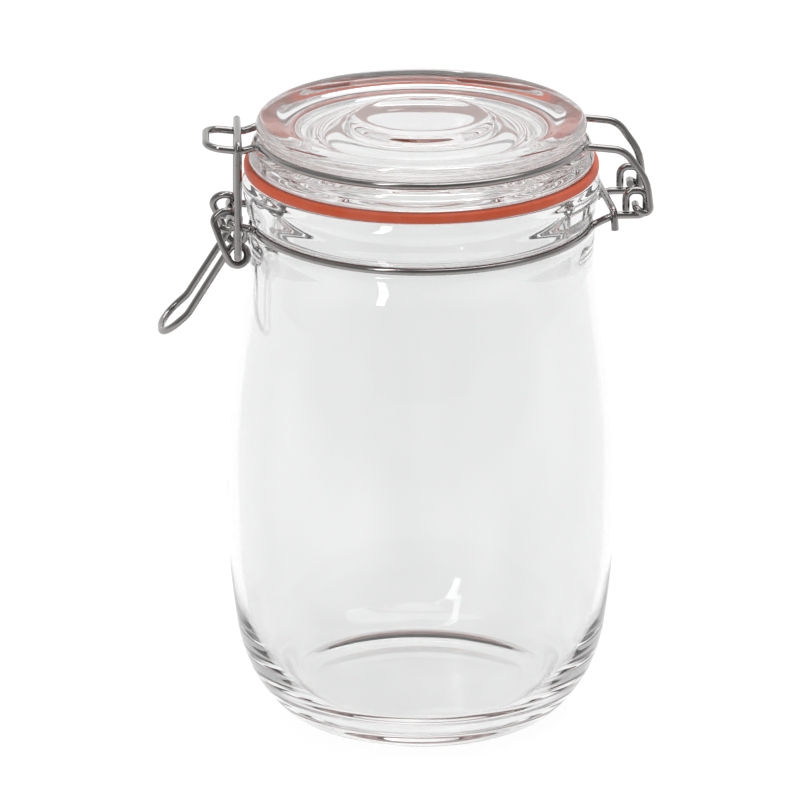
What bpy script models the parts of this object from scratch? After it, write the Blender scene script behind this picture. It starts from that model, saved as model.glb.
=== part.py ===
"""A clip top jar: a glass jar and lid, a rubber seal, a wire hinge and a wire toggle clasp.

Metres, +Z up. The origin is the middle of the base, the hinge is at +X and the clasp is at -X.
Each wire is symmetric about the plane y = 0, so only its half at -Y is laid out.
"""

import math

import bmesh
import bpy
from mathutils import Vector

# Glass jar
RIM_Z = 0.1528
BODY_R = 0.0529
WALL = 0.0030
MOUTH_R = 0.0385
GROOVE_Z = 0.1397
GROOVE_R = 0.0449
FLOOR_Z = 0.0062
GLASS_SIDES = 54

# Rubber seal and glass lid
PLAY = 0.0003
SEAL_R = 0.0475
SEAL_INNER_R = 0.0365
SEAL_T = 0.0025
SEAL_EDGE = 0.0004
SEAL_Z = RIM_Z + PLAY
LID_Z = SEAL_Z + SEAL_T + PLAY
LID_TOP_Z = LID_Z + 0.0118
DISC_R = 0.0442
FLANGE_R = 0.0463
WAIST_R = 0.0424
PLUG_R = 0.0350

# Wires
NECK_D = 0.0022
LID_D = 0.0017
LEVER_D = 0.0019
LINK_D = 0.0018
TIE_D = 0.0018
NECK_RING_R = GROOVE_R + NECK_D / 2 + PLAY
LID_RING_R = 0.0444
LID_RING_Z = LID_Z + 0.0067
RING_STEP = math.radians(6)
BEND_STEP = math.radians(24)

# Hinge: its axis runs along Y through (x, z)
HINGE = (0.0568, 0.1449)
EYE_Y = 0.0103
EYE_X = (0.0542, 0.0596)
EYE_Z = (GROOVE_Z + 0.0027, GROOVE_Z + 0.0096)
STRAND_Y = 0.0128
TIE_Y = 0.0127

# Clasp: the lever turns on the neck wire at PIVOT, and carries the link at RING
PIVOT = (-0.0515, GROOVE_Z + 0.0015)
RING = (-0.0495, PIVOT[1] - 0.0091)
RING_R = 0.0026
ARM_Y = 0.0102
NOSE_X = -0.0576
NOSE_Y = 0.0086
NOSE_Z = LID_RING_Z - 0.0014
NOSE_RISE = 0.0011
LINK_X = -0.0491
LINK_Y = 0.0125
LINK_GAP = 0.0010
LINK_Z = NOSE_Z + (LID_D + LINK_D) / 2 + LINK_GAP
LINK_PIN_Y = 0.0064
OVAL = (0.0034, 0.0027)
HANDLE_Y = 0.0080
HANDLE_RUN = 0.0215
HANDLE_SLOPE = math.radians(58)
TIP_RUN = 0.0095
TIP_SLOPE = math.radians(42)
COIL_Y = (0.0076, 0.0099)
OVAL_Y = (0.0078, 0.0053)
DIAGONAL = 0.0100
DIAGONAL_HEADING = math.radians(111.6)
OVAL_TURN = math.radians(320)


def clear_scene():
    for obj in list(bpy.data.objects):
        bpy.data.objects.remove(obj, do_unlink=True)


def material(name, colour, roughness, metallic=0.0, transmission=0.0, ior=1.5):
    made = bpy.data.materials.new(name)
    made.use_nodes = True
    shader = made.node_tree.nodes["Principled BSDF"]
    shader.inputs["Base Color"].default_value = (*colour, 1.0)
    shader.inputs["Roughness"].default_value = roughness
    shader.inputs["Metallic"].default_value = metallic
    shader.inputs["Transmission Weight"].default_value = transmission
    shader.inputs["IOR"].default_value = ior
    return made


def add(name, data, look, pivot=None):
    """Adds an object whose data is in world coordinates, under the pivot that it moves with."""
    obj = bpy.data.objects.new(name, data)
    bpy.context.collection.objects.link(obj)
    data.materials.append(look)
    if pivot is not None:
        obj.parent = pivot
        obj.location = -world_place(pivot)
    return obj


def world_place(pivot):
    place = pivot.location.copy()
    return place if pivot.parent is None else place + world_place(pivot.parent)


def pivot_at(name, place, parent=None):
    empty = bpy.data.objects.new(name, None)
    empty.empty_display_size = 0.01
    bpy.context.collection.objects.link(empty)
    empty.location = Vector((place[0], 0.0, place[1]))
    if parent is not None:
        empty.parent = parent
        empty.location -= world_place(parent)
    return empty


def turned(name, outline, look, pivot=None, loop=False):
    """A solid of revolution from (radius, height) points, which a loop closes on itself."""
    shape = bmesh.new()
    verts = [shape.verts.new((r, 0.0, z)) for r, z in outline]
    ends = list(zip(verts, verts[1:]))
    if loop:
        ends.append((verts[-1], verts[0]))
    edges = [shape.edges.new(pair) for pair in ends]
    bmesh.ops.spin(
        shape,
        geom=verts + edges,
        cent=(0.0, 0.0, 0.0),
        axis=(0.0, 0.0, 1.0),
        angle=math.tau,
        steps=GLASS_SIDES,
        use_merge=True,
    )
    bmesh.ops.remove_doubles(shape, verts=shape.verts, dist=1e-6)
    bmesh.ops.recalc_face_normals(shape, faces=shape.faces)
    mesh = bpy.data.meshes.new(name)
    shape.to_mesh(mesh)
    shape.free()
    mesh.shade_smooth()
    mesh.set_sharp_from_angle(angle=math.radians(40))
    return add(name, mesh, look, pivot)


def wire(name, points, diameter, look, pivot=None):
    """A round wire with flat ends."""
    curve = bpy.data.curves.new(name, "CURVE")
    curve.dimensions = "3D"
    curve.bevel_depth = diameter / 2
    curve.bevel_resolution = 2
    curve.use_fill_caps = True
    spline = curve.splines.new("POLY")
    spline.points.add(len(points) - 1)
    for slot, point in zip(spline.points, points):
        slot.co = (*point, 1.0)
    return add(name, curve, look, pivot)


def bent(corners):
    """Points of a path that runs straight between corners, each an (x, y, z, bend radius)."""
    places = [Vector(corner[:3]) for corner in corners]
    path = [places[0]]
    for i in range(1, len(corners) - 1):
        here, radius = places[i], corners[i][3]
        back = (places[i - 1] - here).normalized()
        ahead = (places[i + 1] - here).normalized()
        turn = math.pi - back.angle(ahead)
        if radius == 0.0 or turn < 1e-4:
            path.append(here)
            continue
        centre = here + (back + ahead).normalized() * radius / math.cos(turn / 2)
        start = here + back * radius * math.tan(turn / 2) - centre
        side = -back
        steps = max(1, round(turn / BEND_STEP))
        for k in range(steps + 1):
            angle = turn * k / steps
            path.append(centre + start * math.cos(angle) + side * radius * math.sin(angle))
    path.append(places[-1])
    return path


def both_halves(half):
    """A whole symmetric wire from its half at -Y, whose first point is on the plane y = 0."""
    mirrored = [Vector((p.x, -p.y, p.z)) for p in reversed(half[1:])]
    return mirrored + half


def ring_corners(radius, z, first_y, last_y, first_bend, last_bend):
    """Corners along a ring's half at -Y, from its clasp side at first_y to its hinge side at last_y."""
    first = math.pi + math.asin(first_y / radius)
    last = math.tau - math.asin(last_y / radius)
    steps = round((last - first) / RING_STEP)
    corners = []
    for k in range(steps + 1):
        angle = first + (last - first) * k / steps
        bend = first_bend if k == 0 else last_bend if k == steps else 0.0
        corners.append((radius * math.cos(angle), radius * math.sin(angle), z, bend))
    return corners


def jar_outline():
    """From the middle of the inner floor, up the inside, over the rim and down the outside."""
    outside = [
        (0.0463, RIM_Z - 0.0003),
        (0.0470, RIM_Z - 0.0011),
        (0.0480, RIM_Z - 0.0027),
        (0.0480, RIM_Z - 0.0045),
        (0.0473, RIM_Z - 0.0078),
        (0.0466, GROOVE_Z + 0.0019),
        (GROOVE_R + 0.0003, GROOVE_Z + 0.0011),
        (GROOVE_R, GROOVE_Z),
        (GROOVE_R + 0.0003, GROOVE_Z - 0.0011),
        (0.0465, GROOVE_Z - 0.0022),
        (0.0464, 0.1300),
        (0.0475, 0.1210),
        (0.0493, 0.1080),
        (0.0512, 0.0950),
        (0.0525, 0.0800),
        (BODY_R, 0.0620),
        (0.0526, 0.0450),
        (0.0513, 0.0300),
        (0.0498, 0.0200),
        (0.0471, 0.0120),
        (0.0434, 0.0060),
        (0.0398, 0.0020),
        (0.0365, 0.0),
    ]
    inside = [
        (0.0300, FLOOR_Z + 0.0004),
        (0.0360, FLOOR_Z + 0.0016),
        (0.0408, FLOOR_Z + 0.0048),
        (0.0441, FLOOR_Z + 0.0098),
        (0.0470, 0.0240),
        (0.0493, 0.0400),
        (BODY_R - WALL, 0.0620),
        (0.0494, 0.0800),
        (0.0480, 0.0950),
        (0.0460, 0.1080),
        (0.0438, 0.1210),
        (0.0418, 0.1300),
        (0.0396, 0.1370),
        (MOUTH_R, 0.1430),
        (MOUTH_R, RIM_Z - 0.0014),
        (MOUTH_R + 0.0008, RIM_Z - 0.0003),
        (MOUTH_R + 0.0020, RIM_Z),
        (0.0450, RIM_Z),
    ]
    return [(0.0, FLOOR_Z)] + inside + outside + [(0.0, 0.0)]


def seal_outline():
    """Round the section of a flat ring with its corners eased: its outer side runs down."""
    low, high = SEAL_Z, SEAL_Z + SEAL_T
    return [
        (SEAL_R - SEAL_EDGE, high),
        (SEAL_R, high - SEAL_EDGE),
        (SEAL_R, low + SEAL_EDGE),
        (SEAL_R - SEAL_EDGE, low),
        (SEAL_INNER_R + SEAL_EDGE, low),
        (SEAL_INNER_R, low + SEAL_EDGE),
        (SEAL_INNER_R, high - SEAL_EDGE),
        (SEAL_INNER_R + SEAL_EDGE, high),
    ]


def lid_outline():
    """From the middle of the top, out over the rim, down the side and in along the underside."""
    top = [
        (0.0, LID_TOP_Z + 0.0002),
        (0.0176, LID_TOP_Z),
        (0.0186, LID_TOP_Z - 0.0005),
        (0.0203, LID_TOP_Z - 0.0018),
        (0.0320, LID_TOP_Z - 0.0020),
        (0.0345, LID_TOP_Z - 0.0016),
        (0.0378, LID_TOP_Z - 0.0003),
        (0.0392, LID_TOP_Z),
        (0.0422, LID_TOP_Z),
    ]
    side = [
        (DISC_R - 0.0007, LID_TOP_Z - 0.0005),
        (DISC_R, LID_TOP_Z - 0.0017),
        (DISC_R - 0.0002, LID_TOP_Z - 0.0029),
        (DISC_R - 0.0013, LID_TOP_Z - 0.0039),
        (WAIST_R, LID_TOP_Z - 0.0046),
        (WAIST_R + 0.0003, LID_Z + 0.0060),
        (WAIST_R + 0.0017, LID_Z + 0.0053),
        (FLANGE_R - 0.0010, LID_Z + 0.0044),
        (FLANGE_R - 0.0004, LID_Z + 0.0029),
        (FLANGE_R, LID_Z + 0.0013),
        (FLANGE_R - 0.0001, LID_Z + 0.0005),
        (FLANGE_R - 0.0006, LID_Z),
    ]
    underside = [
        (PLUG_R + 0.0008, LID_Z),
        (PLUG_R, LID_Z - 0.0006),
        (PLUG_R - 0.0004, LID_Z - 0.0034),
        (PLUG_R - 0.0014, LID_Z - 0.0042),
        (0.0318, LID_Z - 0.0042),
        (0.0306, LID_Z - 0.0034),
        (0.0284, LID_Z + 0.0010),
        (0.0262, LID_Z + 0.0024),
        (0.0, LID_Z + 0.0030),
    ]
    return top + side + underside


def neck_wire_half():
    """From the bar that the lever turns on, along the groove, to the end of the hinge eye."""
    x, z = PIVOT
    ring = ring_corners(NECK_RING_R, GROOVE_Z, ARM_Y, EYE_Y, 0.0024, 0.0030)
    eye_low, eye_high = EYE_Z
    near, far = EYE_X
    corners = [(x, 0.0, z, 0.0), (x, -ARM_Y, z, 0.0020)]
    corners += ring
    corners += [
        (0.0510, -EYE_Y, eye_low, 0.0060),
        (far, -EYE_Y, eye_low, 0.0022),
        (far, -EYE_Y, eye_high, 0.0022),
        (near, -EYE_Y, eye_high, 0.0022),
        (near, -EYE_Y, eye_low + NECK_D / 2 + PLAY, 0.0),
    ]
    return bent(corners)


def tie_path():
    """A strand across the hinge arms near the neck, hooked down outside each of them."""
    return bent(
        [
            (0.0482, TIE_Y, GROOVE_Z - 0.0004, 0.0),
            (0.0480, TIE_Y, GROOVE_Z + 0.0051, 0.0020),
            (0.0508, -TIE_Y, GROOVE_Z + 0.0047, 0.0020),
            (0.0512, -TIE_Y, GROOVE_Z - 0.0006, 0.0),
        ]
    )


def lid_wire_half():
    """From the end of the nose, round the waist of the lid, to the end of the hinge pin."""
    x, z = HINGE
    corners = [
        (NOSE_X, 0.0, NOSE_Z + NOSE_RISE, 0.0),
        (NOSE_X, -NOSE_Y, NOSE_Z + NOSE_RISE, 0.0045),
        (-0.0480, -NOSE_Y, NOSE_Z, 0.0060),
    ]
    corners += ring_corners(LID_RING_R, LID_RING_Z, NOSE_Y, STRAND_Y, 0.0024, 0.0030)
    corners += [
        (0.0535, -STRAND_Y, LID_RING_Z - 0.0012, 0.0065),
        (0.0595, -STRAND_Y, z + 0.0078, 0.0120),
        (x + 0.0040, -STRAND_Y, z - 0.0026, 0.0015),
        (x, -STRAND_Y, z, 0.0014),
        (x, -0.0084, z, 0.0),
    ]
    return bent(corners)


def on_circle(centre, radius, angle):
    return centre[0] + radius * math.cos(angle), centre[1] + radius * math.sin(angle)


def handle_corners():
    """From the middle of the handle's tip up to where the strand meets the ring."""
    meet = on_circle(RING, RING_R, HANDLE_SLOPE + math.pi / 2)
    knee = on_circle(meet, HANDLE_RUN, HANDLE_SLOPE + math.pi)
    tip = on_circle(knee, TIP_RUN, TIP_SLOPE + math.pi)
    return [
        (tip[0], 0.0, tip[1], 0.0),
        (tip[0], -HANDLE_Y, tip[1], 0.0065),
        (knee[0], -HANDLE_Y, knee[1], 0.0080),
        (meet[0], -COIL_Y[0], meet[1], 0.0),
    ]


def coil_corners():
    """One turn of the ring, clockwise seen from -Y, shifting away from the middle."""
    first = HANDLE_SLOPE + math.pi / 2
    last = DIAGONAL_HEADING + math.pi / 2 - math.tau
    steps = 16
    corners = []
    for k in range(1, steps + 1):
        share = k / steps
        x, z = on_circle(RING, RING_R, first + (last - first) * share)
        corners.append((x, -COIL_Y[0] - (COIL_Y[1] - COIL_Y[0]) * share, z, 0.0))
    return corners


def oval_corners():
    """The diagonal up from the ring, then the oval eye that turns on the neck wire."""
    leave = on_circle(RING, RING_R, DIAGONAL_HEADING + math.pi / 2)
    middle = on_circle(leave, DIAGONAL / 2, DIAGONAL_HEADING)
    arrive = on_circle(leave, DIAGONAL, DIAGONAL_HEADING)
    wide, tall = OVAL
    out_x = math.cos(DIAGONAL_HEADING + math.pi / 2)
    out_z = math.sin(DIAGONAL_HEADING + math.pi / 2)
    reach = math.hypot(wide * out_x, tall * out_z)
    centre_x = arrive[0] - wide * wide * out_x / reach
    centre_z = arrive[1] - tall * tall * out_z / reach
    first = math.atan2(tall * out_z, wide * out_x)
    corners = [(middle[0], -COIL_Y[1], middle[1], 0.0)]
    steps = 16
    for k in range(steps + 1):
        share = k / steps
        angle = first - OVAL_TURN * share
        corners.append(
            (
                centre_x + wide * math.cos(angle),
                -OVAL_Y[0] + (OVAL_Y[0] - OVAL_Y[1]) * share,
                centre_z + tall * math.sin(angle),
                0.0,
            )
        )
    return corners


def lever_half():
    return bent(handle_corners() + coil_corners() + oval_corners())


def link_half():
    """From the middle of the bar over the nose, down a leg, to the pin in the lever's ring."""
    x, z = RING
    return bent(
        [
            (LINK_X, 0.0, LINK_Z, 0.0),
            (LINK_X, -LINK_Y, LINK_Z, 0.0018),
            (x, -LINK_Y, z, 0.0015),
            (x, -LINK_PIN_Y, z, 0.0),
        ]
    )


def main():
    clear_scene()
    glass = material("clear_glass", (0.93, 0.96, 0.95), 0.02, transmission=1.0)
    rubber = material("orange_rubber", (0.82, 0.18, 0.05), 0.45)
    steel = material("bright_steel", (0.62, 0.61, 0.60), 0.25, metallic=1.0)

    hinge = pivot_at("lid_pivot", HINGE)
    lever_pivot = pivot_at("lever_pivot", PIVOT)
    link_pivot = pivot_at("link_pivot", RING, parent=lever_pivot)

    turned("jar_glass", jar_outline(), glass)
    wire("neck_wire", both_halves(neck_wire_half()), NECK_D, steel)
    wire("hinge_tie", tie_path(), TIE_D, steel)
    turned("lid_glass", lid_outline(), glass, pivot=hinge)
    turned("seal", seal_outline(), rubber, pivot=hinge, loop=True)
    wire("lid_wire", both_halves(lid_wire_half()), LID_D, steel, pivot=hinge)
    wire("clasp_lever", both_halves(lever_half()), LEVER_D, steel, pivot=lever_pivot)
    wire("clasp_link", both_halves(link_half()), LINK_D, steel, pivot=link_pivot)


main()
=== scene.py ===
"""A clip top jar with its finishes: clear glass, an orange rubber seal and bright steel wire.

Metres, +Z up. The origin is the middle of the base, the hinge is at +X and the clasp is at -X.
Each wire is symmetric about the plane y = 0, so only its half at -Y is laid out.
"""

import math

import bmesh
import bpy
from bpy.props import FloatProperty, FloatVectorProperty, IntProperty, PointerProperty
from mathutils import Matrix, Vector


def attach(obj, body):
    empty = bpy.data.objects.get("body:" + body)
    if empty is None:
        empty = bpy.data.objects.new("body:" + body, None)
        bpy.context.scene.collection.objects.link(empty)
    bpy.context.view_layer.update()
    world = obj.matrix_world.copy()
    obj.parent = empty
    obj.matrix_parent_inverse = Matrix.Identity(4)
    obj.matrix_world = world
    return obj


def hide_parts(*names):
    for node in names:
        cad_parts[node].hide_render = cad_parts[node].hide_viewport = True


bl_info = {
    "name": "Clip Top Jar",
    "version": (1, 0, 0),
    "blender": (4, 5, 0),
    "location": "3D View > Sidebar > Clip Jar",
    "description": "Makes a glass jar with a hinged glass lid, a rubber seal and a wire clasp",
    "category": "Add Mesh",
}

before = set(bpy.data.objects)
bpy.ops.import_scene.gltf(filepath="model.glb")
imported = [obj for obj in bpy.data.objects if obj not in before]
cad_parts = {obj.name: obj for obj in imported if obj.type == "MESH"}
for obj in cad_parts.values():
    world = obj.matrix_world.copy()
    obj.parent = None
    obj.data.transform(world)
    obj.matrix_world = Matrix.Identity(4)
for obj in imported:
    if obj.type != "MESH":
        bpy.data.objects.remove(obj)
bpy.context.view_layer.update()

# Glass jar
RIM_Z = 0.1528
BODY_R = 0.0529
WALL = 0.0030
MOUTH_R = 0.0385
GROOVE_Z = 0.1397
GROOVE_R = 0.0449
FLOOR_Z = 0.0062

# Rubber seal and glass lid
PLAY = 0.0003
SEAL_R = 0.0475
SEAL_INNER_R = 0.0365
SEAL_T = 0.0025
SEAL_Z = RIM_Z + PLAY
LID_Z = SEAL_Z + SEAL_T + PLAY
LID_TOP_Z = LID_Z + 0.0118
DISC_R = 0.0442
FLANGE_R = 0.0463
WAIST_R = 0.0424
PLUG_R = 0.0350

# Wires
NECK_D = 0.0022
LID_D = 0.0017
LEVER_D = 0.0019
LINK_D = 0.0018
TIE_D = 0.0018
NECK_RING_R = GROOVE_R + NECK_D / 2 + PLAY
LID_RING_R = 0.0444
LID_RING_Z = LID_Z + 0.0067
RING_STEP = math.radians(2)
BEND_STEP = math.radians(9)
END_ROUND = 0.00035
END_SHARES = (0.0, 0.15, 0.4, 0.7, 1.0)
COIL_STEPS = 40
OVAL_STEPS = 40

# Hinge: its axis runs along Y through (x, z)
HINGE = (0.0568, 0.1449)
EYE_Y = 0.0103
EYE_X = (0.0542, 0.0596)
EYE_Z = (GROOVE_Z + 0.0027, GROOVE_Z + 0.0096)
STRAND_Y = 0.0128
TIE_Y = 0.0127

# Clasp: the lever turns on the neck wire at PIVOT, and carries the link at RING
PIVOT = (-0.0515, GROOVE_Z + 0.0015)
RING = (-0.0495, PIVOT[1] - 0.0091)
RING_R = 0.0026
ARM_Y = 0.0102
NOSE_X = -0.0576
NOSE_Y = 0.0086
NOSE_Z = LID_RING_Z - 0.0014
NOSE_RISE = 0.0011
LINK_X = -0.0491
LINK_Y = 0.0125
LINK_GAP = 0.0010
LINK_Z = NOSE_Z + (LID_D + LINK_D) / 2 + LINK_GAP
LINK_PIN_Y = 0.0064
OVAL = (0.0034, 0.0027)
HANDLE_Y = 0.0080
HANDLE_RUN = 0.0215
HANDLE_SLOPE = math.radians(58)
TIP_RUN = 0.0095
TIP_SLOPE = math.radians(42)
COIL_Y = (0.0076, 0.0099)
OVAL_Y = (0.0078, 0.0053)
DIAGONAL = 0.0100
DIAGONAL_HEADING = math.radians(111.6)
OVAL_TURN = math.radians(320)

# Stage: the camera's focal length and the jar's place in the picture are in pixels
PICTURE = 800.0
FOCAL = 5888.0
SENSOR = 36.0
JAR_RIGHT = 21.0
JAR_DOWN = 5.9
JAR_MIDDLE = Vector((0.0, 0.0, 0.085))
STAGE_HALF = 4.0
STAGE_Z = -0.0001
# Painted shade on the floor: its glow is painted fainter on the viewer's side, fading in across Y
# between these two places
PAINTED_SHADE_FADE_FROM = -0.48
PAINTED_SHADE_FADE_TO = -0.13
WHITE = (1.0, 1.0, 1.0)


class CLIPJAR_PG_glass(bpy.types.PropertyGroup):
    tint: FloatVectorProperty(
        name="Tint",
        description="Colour that the clear glass gives to what is seen through it",
        subtype="COLOR",
        size=3,
        min=0.0,
        max=1.0,
        default=(0.830, 0.835, 0.833),
    )
    sides: IntProperty(
        name="Sides", description="Faces round the glass", min=24, max=256, default=192
    )
    spacing: FloatProperty(
        name="Spacing",
        description="Longest step between two rows of faces",
        unit="LENGTH",
        min=0.0005,
        max=0.01,
        default=0.0022,
    )
    ripple: FloatProperty(
        name="Ripple",
        description="Height of the faint waves in the moulded glass",
        unit="LENGTH",
        min=0.0,
        max=0.0002,
        default=0.00005,
    )
    ripple_width: FloatProperty(
        name="Ripple Width",
        description="Width of one wave in the glass",
        unit="LENGTH",
        min=0.005,
        max=0.1,
        default=0.022,
    )
    push_up: FloatProperty(
        name="Push Up",
        description="Depth of the hollow under the base",
        unit="LENGTH",
        min=0.0,
        max=0.002,
        default=0.0012,
    )


class CLIPJAR_PG_seal(bpy.types.PropertyGroup):
    colour: FloatVectorProperty(
        name="Rubber Colour",
        description="Colour of the rubber seal",
        subtype="COLOR",
        size=3,
        min=0.0,
        max=1.0,
        default=(0.74, 0.080, 0.004),
    )
    thickness: FloatProperty(
        name="Thickness",
        description="Thickness of the seal between the jar and the lid",
        unit="LENGTH",
        min=0.001,
        max=0.003,
        default=SEAL_T,
    )
    edge: FloatProperty(
        name="Edge Rounding",
        description="Radius of the seal's long edges",
        unit="LENGTH",
        min=0.0001,
        max=0.001,
        default=0.0007,
    )


class CLIPJAR_PG_wire(bpy.types.PropertyGroup):
    colour: FloatVectorProperty(
        name="Steel Colour",
        description="Colour of the bright steel",
        subtype="COLOR",
        size=3,
        min=0.0,
        max=1.0,
        default=(0.32, 0.307, 0.302),
    )
    neck_gauge: FloatProperty(
        name="Neck Wire",
        description="Diameter of the wire round the neck",
        unit="LENGTH",
        min=0.001,
        max=0.003,
        default=NECK_D,
    )
    lid_gauge: FloatProperty(
        name="Lid Wire",
        description="Diameter of the wire round the lid",
        unit="LENGTH",
        min=0.001,
        max=0.003,
        default=LID_D,
    )
    lever_gauge: FloatProperty(
        name="Lever Wire",
        description="Diameter of the clasp lever's wire",
        unit="LENGTH",
        min=0.001,
        max=0.003,
        default=LEVER_D,
    )
    link_gauge: FloatProperty(
        name="Link Wire",
        description="Diameter of the clasp link's wire",
        unit="LENGTH",
        min=0.001,
        max=0.003,
        default=LINK_D,
    )
    tie_gauge: FloatProperty(
        name="Tie Wire",
        description="Diameter of the wire across the hinge arms",
        unit="LENGTH",
        min=0.001,
        max=0.003,
        default=TIE_D,
    )
    sides: IntProperty(
        name="Sides", description="Faces round a wire", min=8, max=48, default=24
    )


class CLIPJAR_PG_stage(bpy.types.PropertyGroup):
    floor_colour: FloatVectorProperty(
        name="Floor Colour",
        description="Colour of the studio floor",
        subtype="COLOR",
        size=3,
        min=0.0,
        max=1.0,
        default=(0.12, 0.12, 0.12),
    )
    floor_glow: FloatProperty(
        name="Floor Glow",
        description="Light that the floor itself gives, as a lit table does",
        min=0.0,
        max=4.0,
        default=0.93,
    )
    # Painted shade: the share of the floor's glow that is left painted on the viewer's side
    floor_painted_shade_glow: FloatProperty(
        name="Floor Fade",
        description="Share of the glow that is left on the viewer's side of the floor",
        min=0.0,
        max=1.0,
        default=0.50,
    )
    surround: FloatProperty(
        name="Surround",
        description="Brightness of the white wall behind the jar",
        min=0.0,
        max=4.0,
        default=1.0,
    )
    sides: FloatProperty(
        name="Sides",
        description="Brightness of the walls to the left and right of the jar",
        min=0.0,
        max=4.0,
        default=0.45,
    )
    room: FloatProperty(
        name="Room",
        description="Brightness of the room on the viewer's side",
        min=0.0,
        max=4.0,
        default=0.2,
    )
    softbox: FloatProperty(
        name="Softbox",
        description="Power of the large light over the jar",
        unit="POWER",
        min=0.0,
        max=500.0,
        default=6.0,
    )
    strip: FloatProperty(
        name="Strip",
        description="Power of the narrow light that draws highlights on the wires",
        unit="POWER",
        min=0.0,
        max=500.0,
        default=2.5,
    )
    distance: FloatProperty(
        name="Distance",
        description="Distance from the camera to the middle of the jar",
        unit="LENGTH",
        min=0.3,
        max=5.0,
        default=1.6,
    )
    elevation: FloatProperty(
        name="Elevation",
        description="Angle of the camera above the floor",
        subtype="ANGLE",
        min=0.0,
        max=math.pi / 2,
        default=math.radians(20.5),
    )
    turn: FloatProperty(
        name="Turn",
        description="Angle of the camera from the front towards the clasp",
        subtype="ANGLE",
        min=-math.pi,
        max=math.pi,
        default=math.radians(2.5),
    )


class Value:
    """An output of a node. Arithmetic on it adds Math nodes to its tree."""

    def __init__(self, graph, socket):
        self.graph = graph
        self.socket = socket

    def __getitem__(self, name):
        return Value(self.graph, self.socket.node.outputs[name])

    def __add__(self, other):
        return self.graph.math("ADD", self, other)

    def __radd__(self, other):
        return self.graph.math("ADD", other, self)

    def __sub__(self, other):
        return self.graph.math("SUBTRACT", self, other)

    def __rsub__(self, other):
        return self.graph.math("SUBTRACT", other, self)

    def __mul__(self, other):
        return self.graph.math("MULTIPLY", self, other)

    def __rmul__(self, other):
        return self.graph.math("MULTIPLY", other, self)

    def __truediv__(self, other):
        return self.graph.math("DIVIDE", self, other)

    def __rtruediv__(self, other):
        return self.graph.math("DIVIDE", other, self)

    def __pow__(self, other):
        return self.graph.math("POWER", self, other)


class Graph:
    """Adds nodes to one tree."""

    def __init__(self, tree):
        self.tree = tree

    def add(self, kind, settings=None, inputs=None, output=0):
        """A node, its settings made first, then its sockets fed, as the Value of one output."""
        node = self.tree.nodes.new(kind)
        for name, value in (settings or {}).items():
            if name == "stops":
                self.set_stops(node.color_ramp, value)
            else:
                setattr(node, name, value)
        for name, value in (inputs or {}).items():
            self.feed(node.inputs[name], value)
        return Value(self, node.outputs[output]) if node.outputs else node

    def feed(self, socket, value):
        if isinstance(value, Value):
            self.tree.links.new(value.socket, socket)
        else:
            socket.default_value = value

    @staticmethod
    def set_stops(ramp, stops):
        while len(ramp.elements) < len(stops):
            ramp.elements.new(1.0)
        for element, (position, colour) in zip(ramp.elements, stops):
            element.position = position
            element.color = colour

    def math(self, operation, *values):
        inputs = dict(enumerate(values))
        return self.add("ShaderNodeMath", {"operation": operation}, inputs)

    def vector_math(self, operation, *values):
        inputs = dict(enumerate(values))
        return self.add("ShaderNodeVectorMath", {"operation": operation}, inputs)

    def mix_colour(self, factor, first, second):
        """The colour between first and second at factor."""
        return self.add(
            "ShaderNodeMix",
            {"data_type": "RGBA"},
            {0: factor, 6: (*first, 1.0), 7: (*second, 1.0)},
            output=2,
        )

    def noise(self, place, scale, detail=2.0, roughness=0.5):
        return self.add(
            "ShaderNodeTexNoise",
            None,
            {"Vector": place, "Scale": scale, "Detail": detail, "Roughness": roughness},
        )

    def ramp(self, factor, low, high, start=0.0, end=1.0):
        """A number that runs from start to end as factor runs from low to high."""
        return self.add(
            "ShaderNodeMapRange",
            {"interpolation_type": "SMOOTHSTEP"},
            {
                "Value": factor,
                "From Min": low,
                "From Max": high,
                "To Min": start,
                "To Max": end,
            },
        )


def finish_material(name):
    """A new material, its graph and its shader."""
    made = bpy.data.materials.new(name)
    made.use_nodes = True
    return made, Graph(made.node_tree), made.node_tree.nodes["Principled BSDF"]


def clear_glass(tint):
    """Clear moulded glass: slow waves, and a trace of handling on its polish."""
    made, graph, shader = finish_material("moulded_clear_glass")
    place = graph.add("ShaderNodeTexCoord")["Object"]
    drawn = graph.add("ShaderNodeMapping", None, {"Vector": place, "Scale": (1.0, 1.0, 0.35)})
    waves = graph.noise(drawn, 55.0, 1.0, 0.4)
    smear = graph.ramp(graph.noise(place, 70.0, 4.0, 0.6), 0.45, 0.75)
    paler = tuple(min(1.0, 0.5 + 0.5 * c) for c in tint)
    graph.feed(shader.inputs["Base Color"], graph.mix_colour(waves, tint, paler))
    graph.feed(shader.inputs["Roughness"], 0.002 + smear * 0.012)
    bump = graph.add(
        "ShaderNodeBump", None, {"Strength": 0.5, "Distance": 0.0001, "Height": waves}
    )
    graph.feed(shader.inputs["Normal"], bump)
    shader.inputs["Transmission Weight"].default_value = 1.0
    shader.inputs["IOR"].default_value = 1.52
    return made


def orange_rubber(colour):
    """Moulded rubber: a fine matt grain, slightly uneven in colour."""
    made, graph, shader = finish_material("moulded_orange_rubber")
    place = graph.add("ShaderNodeTexCoord")["Object"]
    patches = graph.noise(place, 120.0, 3.0)
    grain = graph.noise(place, 2600.0, 2.0)
    bloom = tuple(c + 0.10 * (1.0 - c) for c in colour)
    deep = tuple(c * 0.88 for c in colour)
    graph.feed(shader.inputs["Base Color"], graph.mix_colour(patches, deep, bloom))
    graph.feed(shader.inputs["Roughness"], 0.36 + patches * 0.14 + grain * 0.06)
    bump = graph.add(
        "ShaderNodeBump", None, {"Strength": 0.35, "Distance": 0.00004, "Height": grain}
    )
    graph.feed(shader.inputs["Normal"], bump)
    shader.inputs["Specular IOR Level"].default_value = 0.25
    return made


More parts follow.
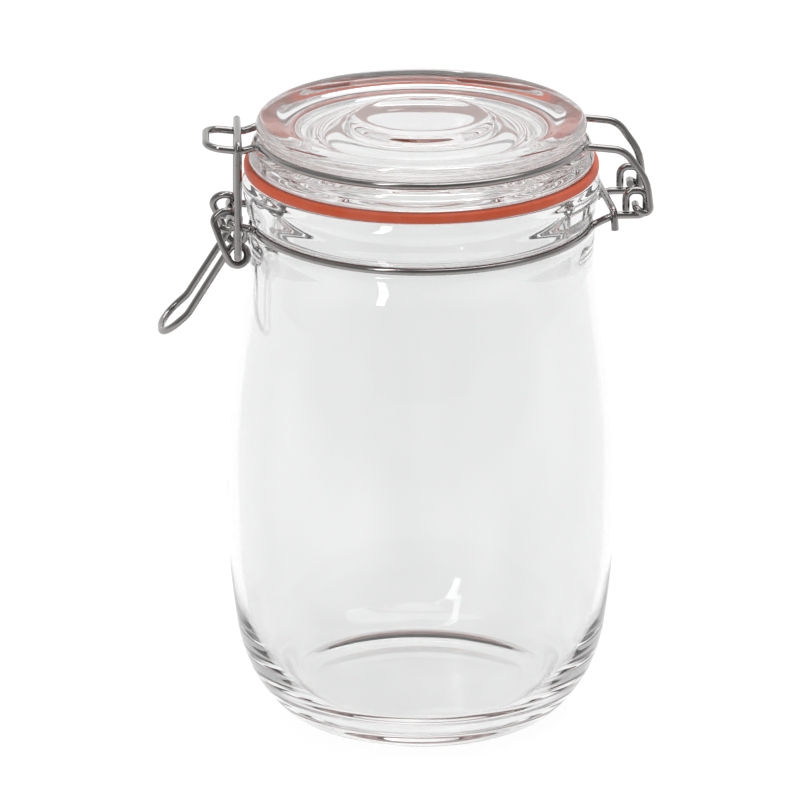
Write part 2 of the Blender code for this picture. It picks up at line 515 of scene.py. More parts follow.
def bright_steel(colour):
    """Drawn wire: fine lines along it, with small dull spots where it was gripped and bent."""
    made, graph, shader = finish_material("drawn_bright_steel")
    along = graph.add(
        "ShaderNodeAttribute", {"attribute_name": "wire_along"}, output="Fac"
    )
    across = graph.add(
        "ShaderNodeAttribute", {"attribute_name": "wire_across"}, output="Vector"
    )
    parts = graph.add("ShaderNodeSeparateXYZ", None, {"Vector": across})
    lines_place = graph.add(
        "ShaderNodeCombineXYZ",
        None,
        {"X": parts["X"] * 9.0, "Y": parts["Y"] * 9.0, "Z": along * 120.0},
    )
    lines = graph.noise(lines_place, 1.0, 3.0, 0.65)
    place = graph.add("ShaderNodeTexCoord")["Object"]
    spots = graph.ramp(graph.noise(place, 420.0, 3.0, 0.6), 0.52, 0.72)
    worn = tuple(c * 0.72 for c in colour)
    shade = graph.mix_colour(spots * 0.55, colour, worn)
    graph.feed(shader.inputs["Base Color"], shade)
    graph.feed(shader.inputs["Roughness"], 0.09 + lines * 0.10 + spots * 0.08)
    height = lines * 0.8 + spots * 0.4
    bump = graph.add(
        "ShaderNodeBump", None, {"Strength": 0.30, "Distance": 0.00003, "Height": height}
    )
    graph.feed(shader.inputs["Normal"], bump)
    shader.inputs["Metallic"].default_value = 1.0
    return made


def node_group(name, inputs):
    """A geometry tree with named inputs, each (name, kind, default), and its group nodes."""
    tree = bpy.data.node_groups.new(name, "GeometryNodeTree")
    tree.interface.new_socket("Geometry", in_out="OUTPUT", socket_type="NodeSocketGeometry")
    tree.interface.new_socket("Geometry", in_out="INPUT", socket_type="NodeSocketGeometry")
    for title, kind, default in inputs:
        socket = tree.interface.new_socket(title, in_out="INPUT", socket_type=kind)
        if default is not None:
            socket.default_value = default
    graph = Graph(tree)
    source = graph.add("NodeGroupInput")
    return tree, graph, source


def end_group(graph, geometry, look):
    """Realised, given its finish and passed to the group's output."""
    solid = graph.add("GeometryNodeRealizeInstances", None, {"Geometry": geometry})
    solid = graph.add(
        "GeometryNodeSetMaterial", None, {"Geometry": solid, "Material": look}
    )
    graph.add("NodeGroupOutput", None, {"Geometry": solid})


def turned_group():
    """Turns a profile in the XZ plane round Z, with faint waves in its surface."""
    tree, graph, source = node_group(
        "turned_profile",
        [
            ("Sides", "NodeSocketInt", 96),
            ("Ripple", "NodeSocketFloat", 0.0),
            ("Ripple Width", "NodeSocketFloat", 0.02),
            ("Ripple Low", "NodeSocketFloat", 0.0),
            ("Ripple High", "NodeSocketFloat", 1.0),
            ("Seed", "NodeSocketFloat", 3.0),
            ("Finish", "NodeSocketMaterial", None),
        ],
    )
    rows = graph.add(
        "GeometryNodeAttributeDomainSize",
        {"component": "MESH"},
        {"Geometry": source["Geometry"]},
    )["Point Count"]
    columns = source["Sides"] + 1.0
    grid = graph.add(
        "GeometryNodeMeshGrid",
        None,
        {"Size X": 1.0, "Size Y": 1.0, "Vertices X": rows, "Vertices Y": columns},
    )["Mesh"]
    index = graph.add("GeometryNodeInputIndex")
    row = graph.math("FLOOR", (index + 0.5) / columns)
    column = index - row * columns
    place = graph.add("GeometryNodeInputPosition")
    on_profile = graph.add(
        "GeometryNodeSampleIndex",
        {"data_type": "FLOAT_VECTOR", "domain": "POINT"},
        {"Geometry": source["Geometry"], "Value": place, "Index": row},
    )
    angle = column / source["Sides"] * math.tau
    turned = graph.add(
        "ShaderNodeVectorRotate",
        {"rotation_type": "Z_AXIS"},
        {"Vector": on_profile, "Angle": angle},
    )
    shell = graph.add(
        "GeometryNodeSetPosition", None, {"Geometry": grid, "Position": turned}
    )
    shell = graph.add(
        "GeometryNodeMergeByDistance", None, {"Geometry": shell, "Distance": 1e-6}
    )
    height = graph.add("ShaderNodeSeparateXYZ", None, {"Vector": place})["Z"]
    low, high = source["Ripple Low"], source["Ripple High"]
    fade = graph.ramp(height, low, low + 0.012) * graph.ramp(height, high - 0.012, high, 1.0, 0.0)
    stretched = graph.vector_math("MULTIPLY", place, (1.0, 1.0, 0.45))
    waves = graph.add(
        "ShaderNodeTexNoise",
        {"noise_dimensions": "4D"},
        {
            "Vector": stretched,
            "W": source["Seed"],
            "Scale": 1.0 / source["Ripple Width"],
            "Detail": 1.0,
        },
    )
    normal = graph.add("GeometryNodeInputNormal")
    push = graph.add(
        "ShaderNodeVectorMath",
        {"operation": "SCALE"},
        {0: normal, "Scale": (waves - 0.5) * source["Ripple"] * 2.0 * fade},
    )
    shell = graph.add(
        "GeometryNodeSetPosition", None, {"Geometry": shell, "Offset": push}
    )
    shell = graph.add("GeometryNodeSetShadeSmooth", None, {"Geometry": shell})
    end_group(graph, shell, source["Finish"])
    return tree


def wire_group():
    """Runs a round wire along a path, its ends slightly rounded, and marks it for drawn lines."""
    tree, graph, source = node_group(
        "drawn_wire",
        [
            ("Diameter", "NodeSocketFloat", 0.002),
            ("End Round", "NodeSocketFloat", END_ROUND),
            ("Sides", "NodeSocketInt", 24),
            ("Finish", "NodeSocketMaterial", None),
        ],
    )
    path = graph.add("GeometryNodeMeshToCurve", None, {"Mesh": source["Geometry"]})
    along = graph.add("GeometryNodeSplineParameter")["Length"]
    length = graph.add("GeometryNodeSplineLength")["Length"]
    path = graph.add(
        "GeometryNodeStoreNamedAttribute",
        {"data_type": "FLOAT", "domain": "POINT"},
        {"Geometry": path, "Name": "wire_along", "Value": along},
    )
    to_end = graph.math("MINIMUM", along, length - along)
    share = graph.math("MINIMUM", to_end / source["End Round"], 1.0)
    radius = source["Diameter"] / 2.0
    drop = source["End Round"] * (1.0 - graph.math("SQRT", 1.0 - (1.0 - share) ** 2.0))
    path = graph.add(
        "GeometryNodeSetCurveRadius", None, {"Curve": path, "Radius": (radius - drop) * 1000.0}
    )
    ring = graph.add(
        "GeometryNodeCurvePrimitiveCircle",
        None,
        {"Resolution": source["Sides"], "Radius": 0.001},
    )["Curve"]
    place = graph.add("GeometryNodeInputPosition")
    around = graph.vector_math("NORMALIZE", place)
    ring = graph.add(
        "GeometryNodeStoreNamedAttribute",
        {"data_type": "FLOAT_VECTOR", "domain": "POINT"},
        {"Geometry": ring, "Name": "wire_across", "Value": around},
    )
    tube = graph.add(
        "GeometryNodeCurveToMesh",
        None,
        {"Curve": path, "Profile Curve": ring, "Fill Caps": True},
    )
    tube = graph.add("GeometryNodeSetShadeSmooth", None, {"Geometry": tube})
    end_group(graph, tube, source["Finish"])
    return tree


def shared(name, maker):
    """A data block by name, made once."""
    for store in (bpy.data.materials, bpy.data.node_groups):
        if name in store:
            return store[name]
    return maker()


def outline_object(name, points, loop=False):
    """A mesh of the points and the edges between them."""
    edges = [(i, i + 1) for i in range(len(points) - 1)]
    if loop:
        edges.append((len(points) - 1, 0))
    mesh = bpy.data.meshes.new(name)
    mesh.from_pydata([tuple(p) for p in points], edges, [])
    obj = bpy.data.objects.new(name, mesh)
    bpy.context.scene.collection.objects.link(obj)
    return obj


def grown(name, points, tree, values, loop=False):
    """The plain mesh that a geometry tree makes from points, with its faces turned outwards."""
    guide = outline_object(name + "_guide", points, loop)
    modifier = guide.modifiers.new(tree.name, "NODES")
    modifier.node_group = tree
    for item in tree.interface.items_tree:
        if item.in_out == "INPUT" and item.name in values:
            modifier[item.identifier] = values[item.name]
    graph = bpy.context.evaluated_depsgraph_get()
    mesh = bpy.data.meshes.new_from_object(guide.evaluated_get(graph), depsgraph=graph)
    guide.modifiers.remove(modifier)
    bpy.data.objects.remove(guide, do_unlink=True)
    mesh.name = name
    mesh.materials.clear()
    mesh.materials.append(values["Finish"])
    for face in mesh.polygons:
        face.material_index = 0
    if not mesh.polygons:
        raise RuntimeError(f"{name}: its geometry tree made no faces")
    shape = bmesh.new()
    shape.from_mesh(mesh)
    loose = [edge for edge in shape.edges if len(edge.link_faces) != 2]
    if loose:
        raise RuntimeError(f"{name}: {len(loose)} edges don't close")
    if shape.calc_volume(signed=True) < 0.0:
        bmesh.ops.reverse_faces(shape, faces=shape.faces)
    shape.to_mesh(mesh)
    shape.free()
    obj = bpy.data.objects.new(name, mesh)
    bpy.context.scene.collection.objects.link(obj)
    return obj


def place_piece(obj, body, node):
    """The piece stands for one node, whose part it hides, and moves with its body."""
    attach(obj, body)
    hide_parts(node)


def eased(outline, spacing, least=4, loop=False):
    """Smooth points through (radius, height) points. An open outline starts and ends on the axis."""
    marks = [Vector((r, z)) for r, z in outline]
    count = len(marks)
    lowest = min(mark.y for mark in marks)
    if loop:
        marks = [marks[-1]] + marks + marks[:2]
    else:
        marks = (
            [Vector((-marks[1].x, marks[1].y))]
            + marks
            + [Vector((-marks[-2].x, marks[-2].y))]
        )
    points = []
    for i in range(1, count + 1 if loop else count):
        before, start, end, after = marks[i - 1 : i + 3]
        steps = max(least, math.ceil((end - start).length / spacing))
        for k in range(steps):
            point = catmull(before, start, end, after, k / steps)
            points.append(Vector((max(point.x, 0.0), 0.0, max(point.y, lowest))))
    if not loop:
        points.append(Vector((0.0, 0.0, marks[-2].y)))
    return points


def catmull(before, start, end, after, share):
    """A point between start and end of the centripetal curve through four points."""
    t0 = 0.0
    t1 = t0 + max(math.sqrt((start - before).length), 1e-6)
    t2 = t1 + max(math.sqrt((end - start).length), 1e-6)
    t3 = t2 + max(math.sqrt((after - end).length), 1e-6)
    t = t1 + (t2 - t1) * share
    a1 = before.lerp(start, (t - t0) / (t1 - t0))
    a2 = start.lerp(end, (t - t1) / (t2 - t1))
    a3 = end.lerp(after, (t - t2) / (t3 - t2))
    b1 = a1.lerp(a2, (t - t0) / (t2 - t0))
    b2 = a2.lerp(a3, (t - t1) / (t3 - t1))
    return b1.lerp(b2, (t - t1) / (t2 - t1))


def jar_outline(push_up):
    """From the middle of the inner floor, up the inside, over the rim, down the outside and under."""
    outside = [
        (0.0463, RIM_Z - 0.0003),
        (0.0470, RIM_Z - 0.0011),
        (0.0480, RIM_Z - 0.0027),
        (0.0480, RIM_Z - 0.0045),
        (0.0473, RIM_Z - 0.0078),
        (0.0466, GROOVE_Z + 0.0019),
        (GROOVE_R + 0.0003, GROOVE_Z + 0.0011),
        (GROOVE_R, GROOVE_Z),
        (GROOVE_R + 0.0003, GROOVE_Z - 0.0011),
        (0.0465, GROOVE_Z - 0.0022),
        (0.0464, 0.1300),
        (0.0475, 0.1210),
        (0.0493, 0.1080),
        (0.0512, 0.0950),
        (0.0525, 0.0800),
        (BODY_R, 0.0620),
        (0.0526, 0.0450),
        (0.0513, 0.0300),
        (0.0498, 0.0200),
        (0.0471, 0.0120),
        (0.0434, 0.0060),
        (0.0398, 0.0020),
        (0.0365, 0.0),
        (0.0345, 0.0),
        (0.0300, push_up * 0.22),
        (0.0200, push_up * 0.70),
    ]
    inside = [
        (0.0300, FLOOR_Z + 0.0004),
        (0.0360, FLOOR_Z + 0.0016),
        (0.0408, FLOOR_Z + 0.0048),
        (0.0441, FLOOR_Z + 0.0098),
        (0.0470, 0.0240),
        (0.0493, 0.0400),
        (BODY_R - WALL, 0.0620),
        (0.0494, 0.0800),
        (0.0480, 0.0950),
        (0.0460, 0.1080),
        (0.0438, 0.1210),
        (0.0418, 0.1300),
        (0.0396, 0.1370),
        (MOUTH_R, 0.1430),
        (MOUTH_R, RIM_Z - 0.0014),
        (MOUTH_R + 0.0008, RIM_Z - 0.0003),
        (MOUTH_R + 0.0020, RIM_Z),
        (0.0450, RIM_Z),
    ]
    return [(0.0, FLOOR_Z)] + inside + outside + [(0.0, push_up)]


def seal_outline(thickness, edge):
    """Round the section of a flat ring with rounded edges."""
    middle = SEAL_Z + SEAL_T / 2
    low, high = middle - thickness / 2, middle + thickness / 2
    half = edge * 0.3
    return [
        (SEAL_R - edge, high),
        (SEAL_R - half, high - half),
        (SEAL_R, high - edge),
        (SEAL_R, low + edge),
        (SEAL_R - half, low + half),
        (SEAL_R - edge, low),
        (SEAL_INNER_R + edge, low),
        (SEAL_INNER_R + half, low + half),
        (SEAL_INNER_R, low + edge),
        (SEAL_INNER_R, high - edge),
        (SEAL_INNER_R + half, high - half),
        (SEAL_INNER_R + edge, high),
    ]


def lid_outline():
    """From the middle of the top, out over the rim, down the side and in along the underside."""
    top = [
        (0.0, LID_TOP_Z + 0.0002),
        (0.0176, LID_TOP_Z),
        (0.0186, LID_TOP_Z - 0.0005),
        (0.0203, LID_TOP_Z - 0.0018),
        (0.0320, LID_TOP_Z - 0.0020),
        (0.0345, LID_TOP_Z - 0.0016),
        (0.0378, LID_TOP_Z - 0.0003),
        (0.0392, LID_TOP_Z),
        (0.0422, LID_TOP_Z),
    ]
    side = [
        (DISC_R - 0.0007, LID_TOP_Z - 0.0005),
        (DISC_R, LID_TOP_Z - 0.0017),
        (DISC_R - 0.0002, LID_TOP_Z - 0.0029),
        (DISC_R - 0.0013, LID_TOP_Z - 0.0039),
        (WAIST_R, LID_TOP_Z - 0.0046),
        (WAIST_R + 0.0003, LID_Z + 0.0060),
        (WAIST_R + 0.0017, LID_Z + 0.0053),
        (FLANGE_R - 0.0010, LID_Z + 0.0044),
        (FLANGE_R - 0.0004, LID_Z + 0.0029),
        (FLANGE_R, LID_Z + 0.0013),
        (FLANGE_R - 0.0001, LID_Z + 0.0005),
        (FLANGE_R - 0.0006, LID_Z),
    ]
    underside = [
        (PLUG_R + 0.0008, LID_Z),
        (PLUG_R, LID_Z - 0.0006),
        (PLUG_R - 0.0004, LID_Z - 0.0034),
        (PLUG_R - 0.0014, LID_Z - 0.0042),
        (0.0318, LID_Z - 0.0042),
        (0.0306, LID_Z - 0.0034),
        (0.0284, LID_Z + 0.0010),
        (0.0262, LID_Z + 0.0024),
        (0.0, LID_Z + 0.0030),
    ]
    return top + side + underside


def bent(corners):
    """Points of a path that runs straight between corners, each an (x, y, z, bend radius)."""
    places = [Vector(corner[:3]) for corner in corners]
    path = [places[0]]
    for i in range(1, len(corners) - 1):
        here, radius = places[i], corners[i][3]
        back = (places[i - 1] - here).normalized()
        ahead = (places[i + 1] - here).normalized()
        turn = math.pi - back.angle(ahead)
        if radius == 0.0 or turn < 1e-4:
            path.append(here)
            continue
        centre = here + (back + ahead).normalized() * radius / math.cos(turn / 2)
        start = here + back * radius * math.tan(turn / 2) - centre
        side = -back
        steps = max(1, round(turn / BEND_STEP))
        for k in range(steps + 1):
            angle = turn * k / steps
            path.append(centre + start * math.cos(angle) + side * radius * math.sin(angle))
    path.append(places[-1])
    return path


def both_halves(half):
    """A whole symmetric wire from its half at -Y, whose first point is on the plane y = 0."""
    mirrored = [Vector((p.x, -p.y, p.z)) for p in reversed(half[1:])]
    return mirrored + half


def with_round_ends(path):
    """The path with the few close points at each end that its rounding needs."""
    start = (path[1] - path[0]).normalized() * END_ROUND
    end = (path[-2] - path[-1]).normalized() * END_ROUND
    first = [path[0] + start * share for share in END_SHARES]
    last = [path[-1] + end * share for share in reversed(END_SHARES)]
    return first + path[1:-1] + last


def ring_corners(radius, z, first_y, last_y, first_bend, last_bend):
    """Corners along a ring's half at -Y, from its clasp side at first_y to its hinge side at last_y."""
    first = math.pi + math.asin(first_y / radius)
    last = math.tau - math.asin(last_y / radius)
    steps = round((last - first) / RING_STEP)
    corners = []
    for k in range(steps + 1):
        angle = first + (last - first) * k / steps
        bend = first_bend if k == 0 else last_bend if k == steps else 0.0
        corners.append((radius * math.cos(angle), radius * math.sin(angle), z, bend))
    return corners


def neck_wire_half():
    """From the bar that the lever turns on, along the groove, to the end of the hinge eye."""
    x, z = PIVOT
    ring = ring_corners(NECK_RING_R, GROOVE_Z, ARM_Y, EYE_Y, 0.0024, 0.0030)
    eye_low, eye_high = EYE_Z
    near, far = EYE_X
    corners = [(x, 0.0, z, 0.0), (x, -ARM_Y, z, 0.0020)]
    corners += ring
    corners += [
        (0.0510, -EYE_Y, eye_low, 0.0060),
        (far, -EYE_Y, eye_low, 0.0022),
        (far, -EYE_Y, eye_high, 0.0022),
        (near, -EYE_Y, eye_high, 0.0022),
        (near, -EYE_Y, eye_low + NECK_D / 2 + PLAY, 0.0),
    ]
    return bent(corners)


def tie_path():
    """A strand across the hinge arms near the neck, hooked down outside each of them."""
    return bent(
        [
            (0.0482, TIE_Y, GROOVE_Z - 0.0004, 0.0),
            (0.0480, TIE_Y, GROOVE_Z + 0.0051, 0.0020),
            (0.0508, -TIE_Y, GROOVE_Z + 0.0047, 0.0020),
            (0.0512, -TIE_Y, GROOVE_Z - 0.0006, 0.0),
        ]
    )


def lid_wire_half():
    """From the end of the nose, round the waist of the lid, to the end of the hinge pin."""
    x, z = HINGE
    corners = [
        (NOSE_X, 0.0, NOSE_Z + NOSE_RISE, 0.0),
        (NOSE_X, -NOSE_Y, NOSE_Z + NOSE_RISE, 0.0045),
        (-0.0480, -NOSE_Y, NOSE_Z, 0.0060),
    ]
    corners += ring_corners(LID_RING_R, LID_RING_Z, NOSE_Y, STRAND_Y, 0.0024, 0.0030)
    corners += [
        (0.0535, -STRAND_Y, LID_RING_Z - 0.0012, 0.0065),
        (0.0595, -STRAND_Y, z + 0.0078, 0.0120),
        (x + 0.0040, -STRAND_Y, z - 0.0026, 0.0015),
        (x, -STRAND_Y, z, 0.0014),
        (x, -0.0084, z, 0.0),
    ]
    return bent(corners)


def on_circle(centre, radius, angle):
    return centre[0] + radius * math.cos(angle), centre[1] + radius * math.sin(angle)


def handle_corners():
    """From the middle of the handle's tip up to where the strand meets the ring."""
    meet = on_circle(RING, RING_R, HANDLE_SLOPE + math.pi / 2)
    knee = on_circle(meet, HANDLE_RUN, HANDLE_SLOPE + math.pi)
    tip = on_circle(knee, TIP_RUN, TIP_SLOPE + math.pi)
    return [
        (tip[0], 0.0, tip[1], 0.0),
        (tip[0], -HANDLE_Y, tip[1], 0.0065),
        (knee[0], -HANDLE_Y, knee[1], 0.0080),
        (meet[0], -COIL_Y[0], meet[1], 0.0),
    ]


def coil_corners():
    """One turn of the ring, clockwise seen from -Y, shifting away from the middle."""
    first = HANDLE_SLOPE + math.pi / 2
    last = DIAGONAL_HEADING + math.pi / 2 - math.tau
    corners = []
    for k in range(1, COIL_STEPS + 1):
        share = k / COIL_STEPS
        x, z = on_circle(RING, RING_R, first + (last - first) * share)
        corners.append((x, -COIL_Y[0] - (COIL_Y[1] - COIL_Y[0]) * share, z, 0.0))
    return corners


def oval_corners():
    """The diagonal up from the ring, then the oval eye that turns on the neck wire."""
    leave = on_circle(RING, RING_R, DIAGONAL_HEADING + math.pi / 2)
    middle = on_circle(leave, DIAGONAL / 2, DIAGONAL_HEADING)
    arrive = on_circle(leave, DIAGONAL, DIAGONAL_HEADING)
    wide, tall = OVAL
    out_x = math.cos(DIAGONAL_HEADING + math.pi / 2)
    out_z = math.sin(DIAGONAL_HEADING + math.pi / 2)
    reach = math.hypot(wide * out_x, tall * out_z)
    centre_x = arrive[0] - wide * wide * out_x / reach
    centre_z = arrive[1] - tall * tall * out_z / reach
    first = math.atan2(tall * out_z, wide * out_x)
    corners = [(middle[0], -COIL_Y[1], middle[1], 0.0)]
    for k in range(OVAL_STEPS + 1):
        share = k / OVAL_STEPS
        angle = first - OVAL_TURN * share
        corners.append(
            (
                centre_x + wide * math.cos(angle),
                -OVAL_Y[0] + (OVAL_Y[0] - OVAL_Y[1]) * share,
                centre_z + tall * math.sin(angle),
                0.0,
            )
        )
    return corners


def lever_half():
    return bent(handle_corners() + coil_corners() + oval_corners())


def link_half():
    """From the middle of the bar over the nose, down a leg, to the pin in the lever's ring."""
    x, z = RING
    return bent(
        [
            (LINK_X, 0.0, LINK_Z, 0.0),
            (LINK_X, -LINK_Y, LINK_Z, 0.0018),
            (x, -LINK_Y, z, 0.0015),
            (x, -LINK_PIN_Y, z, 0.0),
        ]
    )


def make_turned(name, outline, settings, look, ripple, heights, seed, loop=False):
    """A turned piece from its outline, with waves of the given height between two heights."""
    points = eased(outline, settings.spacing, loop=loop)
    if loop:
        points.append(points[0])
    values = {
        "Sides": settings.sides,
        "Ripple": ripple,
        "Ripple Width": settings.ripple_width,
        "Ripple Low": heights[0],
        "Ripple High": heights[1],
        "Seed": seed,
        "Finish": look,
    }
    tree = shared("turned_profile", turned_group)
    return grown(name, points, tree, values)


def make_wire(name, path, gauge, settings):
    """A round steel wire along a path."""
    look = shared("drawn_bright_steel", lambda: bright_steel(settings.colour))
    values = {
        "Diameter": gauge,
        "End Round": END_ROUND,
        "Sides": settings.sides,
        "Finish": look,
    }
    tree = shared("drawn_wire", wire_group)
    return grown(name, with_round_ends(path), tree, values)


class CLIPJAR_OT_jar_glass(bpy.types.Operator):
    """Makes the glass jar"""

    bl_idname = "clip_jar.jar_glass"
    bl_label = "Jar Glass"

    def execute(self, context):
        settings = context.scene.clip_jar_glass
        look = shared("moulded_clear_glass", lambda: clear_glass(settings.tint))
        obj = make_turned(
            "jar_clear_glass",
            jar_outline(settings.push_up),
            settings,
            look,
            settings.ripple,
            (0.004, RIM_Z - 0.002),
            3.0,
        )
        place_piece(obj, "jar", "jar_glass")
        return {"FINISHED"}


class CLIPJAR_OT_lid_glass(bpy.types.Operator):
    """Makes the glass lid"""

    bl_idname = "clip_jar.lid_glass"
    bl_label = "Lid Glass"

    def execute(self, context):
        settings = context.scene.clip_jar_glass
        look = shared("moulded_clear_glass", lambda: clear_glass(settings.tint))
        obj = make_turned(
            "lid_clear_glass",
            lid_outline(),
            settings,
            look,
            settings.ripple * 0.4,
            (LID_Z, LID_TOP_Z + 0.012),
            7.0,
        )
        place_piece(obj, "lid", "lid_glass")
        return {"FINISHED"}


class CLIPJAR_OT_seal(bpy.types.Operator):
    """Makes the rubber seal"""

    bl_idname = "clip_jar.seal"
    bl_label = "Rubber Seal"

    def execute(self, context):
        settings = context.scene.clip_jar_seal
        look = shared("moulded_orange_rubber", lambda: orange_rubber(settings.colour))
        obj = make_turned(
            "rubber_seal",
            seal_outline(settings.thickness, settings.edge),
            context.scene.clip_jar_glass,
            look,
            0.0,
            (0.0, 1.0),
            0.0,
            loop=True,
        )
        place_piece(obj, "lid", "seal")
        return {"FINISHED"}


class CLIPJAR_OT_jar_wires(bpy.types.Operator):
    """Makes the wire round the neck and the tie across its hinge arms"""

    bl_idname = "clip_jar.jar_wires"
    bl_label = "Neck Wire and Tie"

    def execute(self, context):
        settings = context.scene.clip_jar_wire
        neck = make_wire(
            "neck_steel_wire", both_halves(neck_wire_half()), settings.neck_gauge, settings
        )
        place_piece(neck, "jar", "neck_wire")
        tie = make_wire("hinge_steel_tie", tie_path(), settings.tie_gauge, settings)
        place_piece(tie, "jar", "hinge_tie")
        return {"FINISHED"}


class CLIPJAR_OT_lid_wire(bpy.types.Operator):
    """Makes the wire round the lid, with its nose and hinge strands"""

    bl_idname = "clip_jar.lid_wire"
    bl_label = "Lid Wire"

    def execute(self, context):
        settings = context.scene.clip_jar_wire
        obj = make_wire(
            "lid_steel_wire", both_halves(lid_wire_half()), settings.lid_gauge, settings
        )
        place_piece(obj, "lid", "lid_wire")
        return {"FINISHED"}


class CLIPJAR_OT_clasp(bpy.types.Operator):
    """Makes the clasp's lever and link"""

    bl_idname = "clip_jar.clasp"
    bl_label = "Clasp"

    def execute(self, context):
        settings = context.scene.clip_jar_wire
        lever = make_wire(
            "lever_steel_wire", both_halves(lever_half()), settings.lever_gauge, settings
        )
        place_piece(lever, "lever", "clasp_lever")
        link = make_wire(
            "link_steel_wire", both_halves(link_half()), settings.link_gauge, settings
        )
        place_piece(link, "link", "clasp_link")
        return {"FINISHED"}


def studio_floor(colour, glow, fade):
    """Smooth matt board, lit from below as a product table is, with painted shade: its glow is painted
    fainter near the viewer.
    """
    made, graph, shader = finish_material("studio_floor")
    place = graph.add("ShaderNodeTexCoord")["Object"]
    mottle = graph.noise(place, 6.0, 2.0)
    darker = tuple(c * 0.98 for c in colour)
    graph.feed(shader.inputs["Base Color"], graph.mix_colour(mottle, colour, darker))
    shader.inputs["Roughness"].default_value = 0.6
    shader.inputs["Specular IOR Level"].default_value = 0.2
    # Painted shade: the glow is painted fainter towards the viewer, at -Y
    across = graph.add("ShaderNodeSeparateXYZ", None, {"Vector": place})["Y"]
    lit = graph.ramp(across, PAINTED_SHADE_FADE_FROM, PAINTED_SHADE_FADE_TO)
    shade = graph.mix_colour(lit, (fade,) * 3, WHITE)
    graph.feed(shader.inputs["Emission Color"], shade)
    shader.inputs["Emission Strength"].default_value = glow
    return made


def studio_surround(towards_viewer, back, side, front):
    """White walls: bright behind the jar, dimmer beside it and on the viewer's side."""
    world = bpy.data.worlds.new("studio_surround")
    world.use_nodes = True
    graph = Graph(world.node_tree)
    background = world.node_tree.nodes["Background"]
    background.inputs["Color"].default_value = (*WHITE, 1.0)
    place = graph.add("ShaderNodeTexCoord")["Generated"]
    facing = graph.add(
        "ShaderNodeVectorMath",
        {"operation": "DOT_PRODUCT"},
        {0: place, 1: tuple(towards_viewer)},
        output="Value",
    )
    strength = graph.ramp(facing, -0.45, -0.05, back, side)
    strength = strength + graph.ramp(facing, 0.45, 0.85, 0.0, front - side)
    graph.feed(background.inputs["Strength"], strength)
    return world


def softbox(name, place, width, height, power):
    """A rectangular light that faces the middle of the jar."""
    data = bpy.data.lights.new(name, "AREA")
    data.shape = "RECTANGLE"
    data.size = width
    data.size_y = height
    data.energy = power
    obj = bpy.data.objects.new(name, data)
    bpy.context.scene.collection.objects.link(obj)
    obj.location = place
    obj.rotation_euler = (JAR_MIDDLE - Vector(place)).to_track_quat("-Z", "Y").to_euler()


class CLIPJAR_OT_stage(bpy.types.Operator):
    """Makes the floor, the lights and the camera"""

    bl_idname = "clip_jar.stage"
    bl_label = "Studio"

    def execute(self, context):
        settings = context.scene.clip_jar_stage
        level = Vector((-math.sin(settings.turn), -math.cos(settings.turn), 0.0))
        towards = level * math.cos(settings.elevation)
        towards += Vector((0.0, 0.0, math.sin(settings.elevation)))

        mesh = bpy.data.meshes.new("studio_floor")
        signs = ((-1, -1), (1, -1), (1, 1), (-1, 1))
        corners = [(x * STAGE_HALF, y * STAGE_HALF, STAGE_Z) for x, y in signs]
        mesh.from_pydata(corners, [], [(0, 1, 2, 3)])
        floor = bpy.data.objects.new("studio_floor", mesh)
        context.scene.collection.objects.link(floor)
        mesh.materials.append(
            studio_floor(settings.floor_colour, settings.floor_glow, settings.floor_painted_shade_glow)
        )

        context.scene.world = studio_surround(
            towards, settings.surround, settings.sides, settings.room
        )
        softbox("softbox_top", (0.15, 0.10, 1.1), 1.0, 0.8, settings.softbox)
        softbox("softbox_strip", (-0.45, -0.75, 0.95), 0.12, 1.0, settings.strip)

        right = Vector((0.0, 0.0, 1.0)).cross(towards).normalized()
        up = towards.cross(right)
        per_pixel = settings.distance / FOCAL
        aim = JAR_MIDDLE - right * JAR_RIGHT * per_pixel + up * JAR_DOWN * per_pixel
        camera_data = bpy.data.cameras.new("product_camera")
        camera_data.sensor_width = SENSOR
        camera_data.lens = FOCAL / PICTURE * SENSOR
        camera_data.clip_end = 20.0
        camera = bpy.data.objects.new("product_camera", camera_data)
        context.scene.collection.objects.link(camera)
        camera.location = aim + towards * settings.distance
        camera.rotation_euler = (-towards).to_track_quat("-Z", "Y").to_euler()
        context.scene.camera = camera
        context.scene.view_settings.view_transform = "Standard"
        # Light turns back many times inside thick glass before it leaves.
        context.scene.cycles.max_bounces = 32
        context.scene.cycles.glossy_bounces = 20
        context.scene.cycles.transmission_bounces = 32
        return {"FINISHED"}


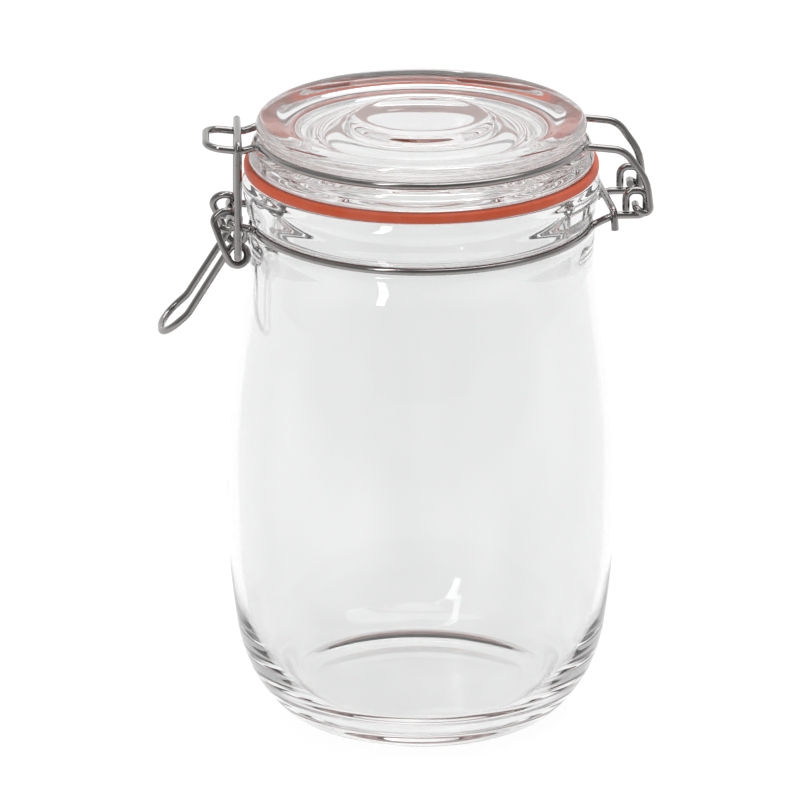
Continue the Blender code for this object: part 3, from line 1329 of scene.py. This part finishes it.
class CLIPJAR_PT_panel(bpy.types.Panel):
    """Lists the jar's pieces and their settings"""

    bl_idname = "CLIPJAR_PT_panel"
    bl_label = "Clip Top Jar"
    bl_space_type = "VIEW_3D"
    bl_region_type = "UI"
    bl_category = "Clip Jar"

    def draw(self, context):
        scene = context.scene
        for title, settings, operators in (
            ("Glass", scene.clip_jar_glass, (CLIPJAR_OT_jar_glass, CLIPJAR_OT_lid_glass)),
            ("Seal", scene.clip_jar_seal, (CLIPJAR_OT_seal,)),
            (
                "Wire",
                scene.clip_jar_wire,
                (CLIPJAR_OT_jar_wires, CLIPJAR_OT_lid_wire, CLIPJAR_OT_clasp),
            ),
            ("Studio", scene.clip_jar_stage, (CLIPJAR_OT_stage,)),
        ):
            box = self.layout.box()
            box.label(text=title)
            for name in settings.__annotations__:
                box.prop(settings, name)
            for operator in operators:
                box.operator(operator.bl_idname)


GROUPS = (
    ("clip_jar_glass", CLIPJAR_PG_glass),
    ("clip_jar_seal", CLIPJAR_PG_seal),
    ("clip_jar_wire", CLIPJAR_PG_wire),
    ("clip_jar_stage", CLIPJAR_PG_stage),
)
OTHERS = (
    CLIPJAR_OT_jar_glass,
    CLIPJAR_OT_lid_glass,
    CLIPJAR_OT_seal,
    CLIPJAR_OT_jar_wires,
    CLIPJAR_OT_lid_wire,
    CLIPJAR_OT_clasp,
    CLIPJAR_OT_stage,
    CLIPJAR_PT_panel,
)


def register():
    for name, group in GROUPS:
        bpy.utils.register_class(group)
        setattr(bpy.types.Scene, name, PointerProperty(type=group))
    for cls in OTHERS:
        bpy.utils.register_class(cls)


def unregister():
    for cls in reversed(OTHERS):
        bpy.utils.unregister_class(cls)
    for name, group in reversed(GROUPS):
        delattr(bpy.types.Scene, name)
        bpy.utils.unregister_class(group)


def main():
    register()
    bpy.ops.clip_jar.jar_glass()
    bpy.ops.clip_jar.lid_glass()
    bpy.ops.clip_jar.seal()
    bpy.ops.clip_jar.jar_wires()
    bpy.ops.clip_jar.lid_wire()
    bpy.ops.clip_jar.clasp()
    bpy.ops.clip_jar.stage()


if __name__ == "__main__":
    main()
